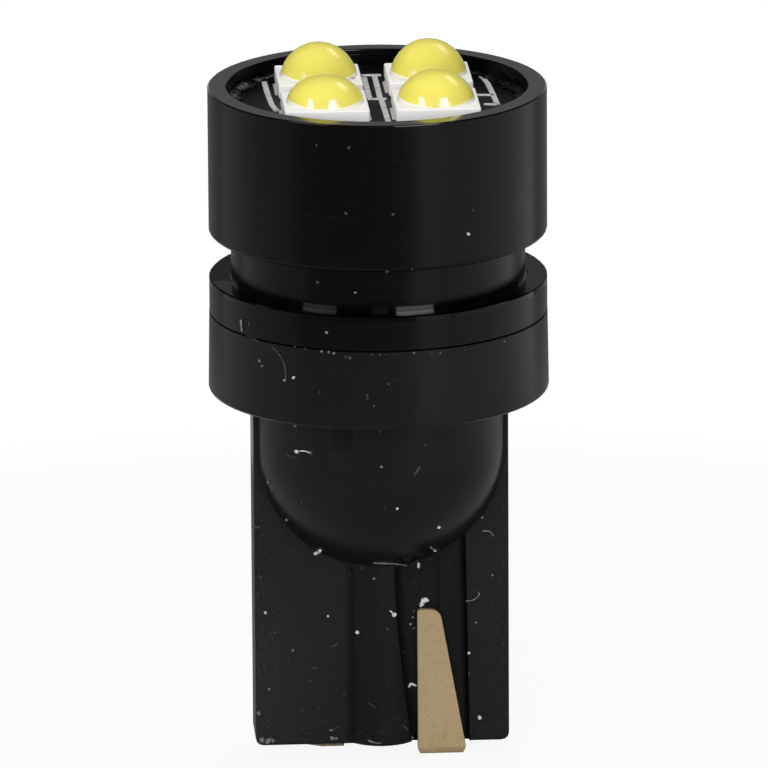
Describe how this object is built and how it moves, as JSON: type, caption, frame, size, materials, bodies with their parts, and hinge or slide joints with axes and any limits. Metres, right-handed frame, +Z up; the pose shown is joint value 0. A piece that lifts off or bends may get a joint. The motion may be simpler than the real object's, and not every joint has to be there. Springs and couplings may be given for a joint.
{
  "type": "wedge base led bulb",
  "caption": "Small plug-in LED bulb: a black turned cup of domed LEDs over a moulded wedge base with folded side contacts.",
  "frame": {"origin": "on the bulb's axis, at the height of its lowest point, the folds of the two contacts under the blade", "axes": "+Z up the axis from the blade to the LEDs; the blade is flat in the XZ plane and its contact shown in the picture faces -Y; X runs across the blade's width"},
  "size_m": [0.0126, 0.0126, 0.0266],
  "materials": {
    "head": "black anodised, fine turning lines, satin gloss",
    "base": "moulded black plastic, satin dome and spark-textured blade",
    "contacts": "dull tinned strip",
    "led_board": "aluminium-core board under black mask",
    "led_bodies": "white package, satin",
    "led_lenses": "clear silicone over yellow phosphor, glossy",
    "driver_board": "green glass-fibre board",
    "pins": "bright tinned pin",
    "chips": "black moulding compound",
    "resistors": "black glaze with tinned ends",
    "capacitor": "tan ceramic with tinned ends"
  },
  "bodies": {
    "root": {"head_shell": "head", "base_shell": "base", "contact_front": "contacts", "contact_back": "contacts", "led_board": "led_board", "led_body_1": "led_bodies", "led_body_2": "led_bodies", "led_body_3": "led_bodies", "led_body_4": "led_bodies", "led_lens_1": "led_lenses", "led_lens_2": "led_lenses", "led_lens_3": "led_lenses", "led_lens_4": "led_lenses", "driver_board": "driver_board", "feed_pin_left": "pins", "feed_pin_right": "pins", "bridge_rectifier": "chips", "regulator_chip": "chips", "load_resistor_1": "resistors", "load_resistor_2": "resistors", "sense_resistor": "resistors", "filter_capacitor": "capacitor"}
  },
  "joints": []
}
